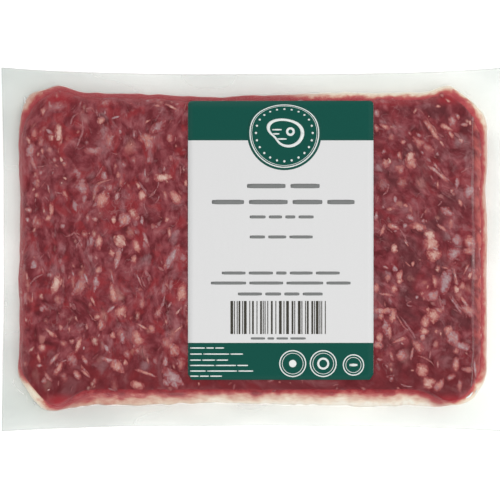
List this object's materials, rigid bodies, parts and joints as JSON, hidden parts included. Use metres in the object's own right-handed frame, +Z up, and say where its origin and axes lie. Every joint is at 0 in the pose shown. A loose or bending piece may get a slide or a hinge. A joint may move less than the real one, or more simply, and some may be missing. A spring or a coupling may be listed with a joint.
{
  "type": "pouch of ground beef",
  "caption": "Flat clear vacuum pouch of ground beef with a flat film margin all round and a banded paper label on top, lying label up.",
  "frame": {"origin": "on the surface the pouch lies on, under the middle of the film margin's outline", "axes": "+Z up out of the label, +X along the pouch's length, +Y across it, towards the label's top edge"},
  "size_m": [0.2196, 0.1582, 0.0196],
  "materials": {
    "filmed_mince": "gloss",
    "label_paper": "satin"
  },
  "bodies": {
    "root": {"pouch": "filmed_mince", "label": "label_paper"}
  },
  "joints": []
}
